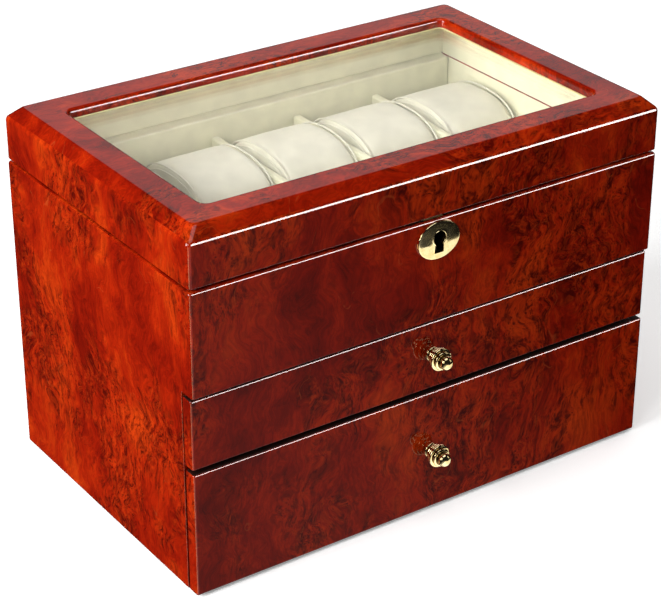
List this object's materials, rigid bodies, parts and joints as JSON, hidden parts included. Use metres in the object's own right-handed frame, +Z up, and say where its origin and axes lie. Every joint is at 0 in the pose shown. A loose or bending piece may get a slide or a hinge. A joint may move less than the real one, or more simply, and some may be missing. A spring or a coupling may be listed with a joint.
{
  "type": "watch box",
  "caption": "Lacquered burl-veneered watch box with a glazed hinged lid over cushioned watch cells, and two drawers with turned knobs below.",
  "frame": {"origin": "centre of the case's footprint, on the underside of the felt that it stands on", "axes": "+Z up, +X to the right seen from the front, and the drawers open towards -Y"},
  "size_m": [0.33, 0.231, 0.2334],
  "materials": {
    "burl_lacquer": "high-gloss clear lacquer over red-brown burl veneer",
    "drawer_wood": "plain satin-sealed wood inside the carcass and the drawers",
    "cream_lining": "cream leatherette lining over boards, fine grain, satin",
    "pillow_leatherette": "soft cream leatherette cover over a foam roll, satin",
    "drawer_lining": "cream suede-like lining",
    "lid_glass": "clear polished flat glass",
    "polished_brass": "polished and lacquered",
    "satin_brass": "satin",
    "lock_steel": "blackened steel",
    "base_felt": "dark self-adhesive felt"
  },
  "bodies": {
    "case": {"back_panel": "burl_lacquer", "base_felt": "base_felt", "bottom_panel": "drawer_wood", "case_hinge_leaf_left": "satin_brass", "case_hinge_leaf_right": "satin_brass", "column_divider_1": "cream_lining", "column_divider_2": "cream_lining", "column_divider_3": "cream_lining", "column_divider_4": "cream_lining", "compartment_floor": "cream_lining", "drawer_shelf": "burl_lacquer", "hinge_pin_left": "satin_brass", "hinge_pin_right": "satin_brass", "keyhole_escutcheon": "polished_brass", "lining_front": "cream_lining", "lining_left": "cream_lining", "lining_right": "cream_lining", "lock_case": "lock_steel", "rear_ledge": "cream_lining", "row_divider": "cream_lining", "side_panel_left": "burl_lacquer", "side_panel_right": "burl_lacquer", "upper_front_panel": "burl_lacquer", "watch_pillow_front_1": "pillow_leatherette", "watch_pillow_front_2": "pillow_leatherette", "watch_pillow_front_3": "pillow_leatherette", "watch_pillow_front_4": "pillow_leatherette", "watch_pillow_front_5": "pillow_leatherette", "watch_pillow_rear_1": "pillow_leatherette", "watch_pillow_rear_2": "pillow_leatherette", "watch_pillow_rear_3": "pillow_leatherette", "watch_pillow_rear_4": "pillow_leatherette", "watch_pillow_rear_5": "pillow_leatherette"},
    "lid": {"lid_back_rail": "burl_lacquer", "lid_front_rail": "burl_lacquer", "lid_glass": "lid_glass", "lid_hinge_leaf_left": "satin_brass", "lid_hinge_leaf_right": "satin_brass", "lid_left_rail": "burl_lacquer", "lid_lining_back": "cream_lining", "lid_lining_front": "cream_lining", "lid_lining_left": "cream_lining", "lid_lining_right": "cream_lining", "lid_right_rail": "burl_lacquer", "strike_plate": "satin_brass"},
    "lock_bolt": {"lock_bolt": "satin_brass"},
    "upper_drawer": {"upper_drawer_back": "drawer_wood", "upper_drawer_bottom": "drawer_wood", "upper_drawer_front": "burl_lacquer", "upper_drawer_knob": "polished_brass", "upper_drawer_pad": "drawer_lining", "upper_drawer_side_left": "drawer_wood", "upper_drawer_side_right": "drawer_wood"},
    "lower_drawer": {"lower_drawer_back": "drawer_wood", "lower_drawer_bottom": "drawer_wood", "lower_drawer_front": "burl_lacquer", "lower_drawer_knob": "polished_brass", "lower_drawer_pad": "drawer_lining", "lower_drawer_side_left": "drawer_wood", "lower_drawer_side_right": "drawer_wood"}
  },
  "joints": [
    {"name": "lid_hinge", "type": "hinge", "parent": "case", "child": "lid", "pos_m": [0, 0.1077, 0.1984], "axis": [-1, 0, 0], "range_deg": [0, 95]},
    {"name": "lock_bolt_slide", "type": "slide", "parent": "case", "child": "lock_bolt", "axis": [0, 0, 1], "range_m": [0, 0.0055]},
    {"name": "upper_drawer_slide", "type": "slide", "parent": "case", "child": "upper_drawer", "axis": [0, -1, 0], "range_m": [0, 0.15]},
    {"name": "lower_drawer_slide", "type": "slide", "parent": "case", "child": "lower_drawer", "axis": [0, -1, 0], "range_m": [0, 0.15]}
  ]
}
